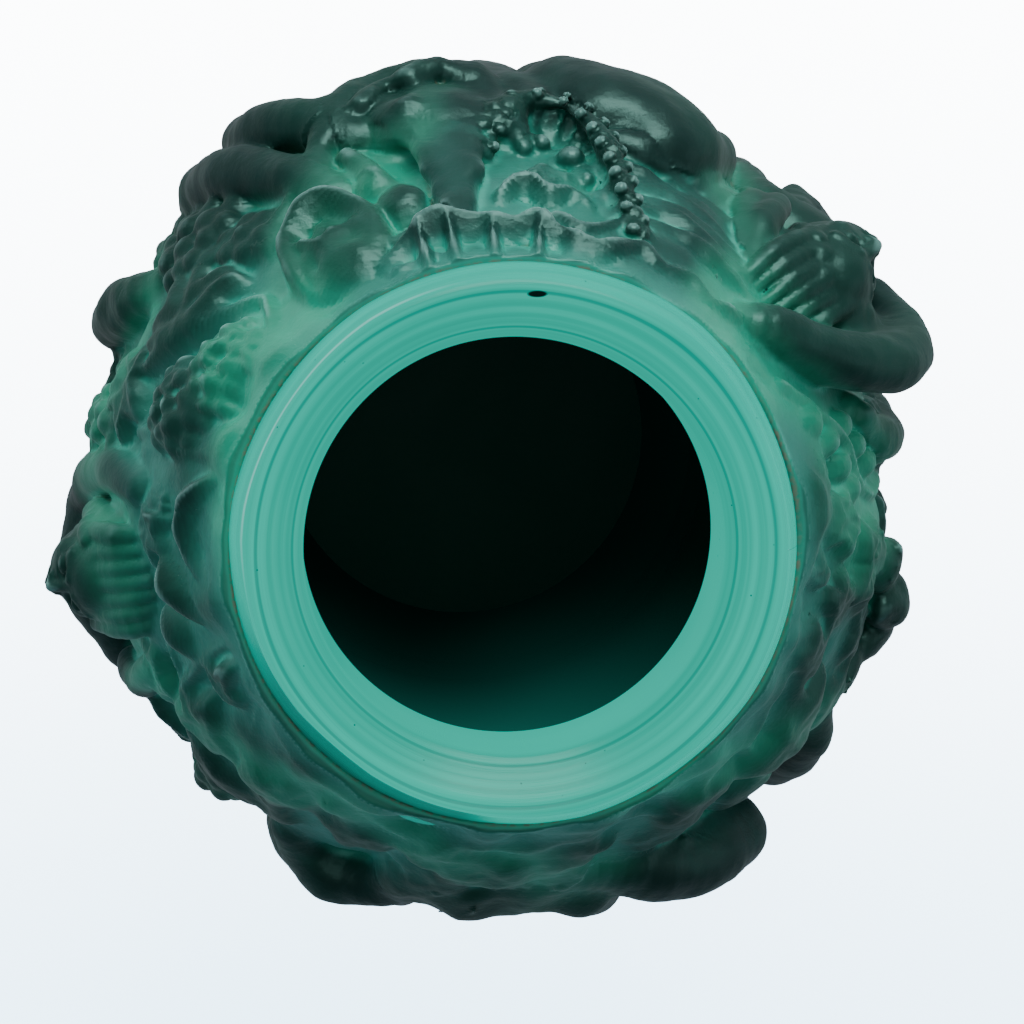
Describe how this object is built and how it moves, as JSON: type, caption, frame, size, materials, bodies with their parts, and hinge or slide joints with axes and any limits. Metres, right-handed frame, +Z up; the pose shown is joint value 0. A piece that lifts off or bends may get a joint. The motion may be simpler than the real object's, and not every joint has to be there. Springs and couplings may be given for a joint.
{
  "type": "figural cast-glass vase",
  "caption": "Round cast-glass vase with a thick polished mouth ring and a wall covered in high relief of draped figures, grapes and vine leaves.",
  "frame": {"origin": "centre of the flat resting foot, on the surface the vase stands on", "axes": "+Z up along the vase's own axis, out of the mouth; +X towards the side with the woman's bent arm, +Y towards the stooping harvester"},
  "size_m": [0.1342, 0.1308, 0.13],
  "materials": {
    "polished_ring": "polished",
    "satin_wall": "satin",
    "ground_foot": "ground and polished",
    "satin_cloth": "satin",
    "satin_fruit": "satin",
    "satin_leaves": "satin",
    "satin_figures": "satin"
  },
  "bodies": {
    "root": {"mouth_ring": "polished_ring", "shoulder_wall": "satin_wall", "upper_wall": "satin_wall", "belly_wall": "satin_wall", "lower_wall": "satin_wall", "foot_disc": "ground_foot", "woman_head_right": "satin_figures", "woman_arm_right": "satin_figures", "woman_torso_right": "satin_figures", "woman_skirt_right": "satin_figures", "woman_head_left": "satin_figures", "woman_torso_left": "satin_figures", "woman_skirt_left": "satin_figures", "harvester_back": "satin_figures", "harvester_legs": "satin_figures", "draped_figure_back": "satin_figures", "knees_back_left": "satin_figures", "kneeling_thigh_front": "satin_figures", "kneeling_leg_front_left": "satin_figures", "low_leg_right": "satin_figures", "cloak_folds": "satin_cloth", "rim_pleats": "satin_cloth", "grape_arch_back": "satin_fruit", "grapes_back_left": "satin_fruit", "grapes_rim_left": "satin_fruit", "curled_leaf": "satin_leaves", "broad_leaf_left": "satin_leaves", "leaves_front_left": "satin_leaves", "leaves_front": "satin_leaves", "leaves_front_right": "satin_leaves", "leaves_right": "satin_leaves", "vine_stems_right": "satin_fruit", "low_garland_back": "satin_leaves", "low_garland_front": "satin_leaves"}
  },
  "joints": []
}
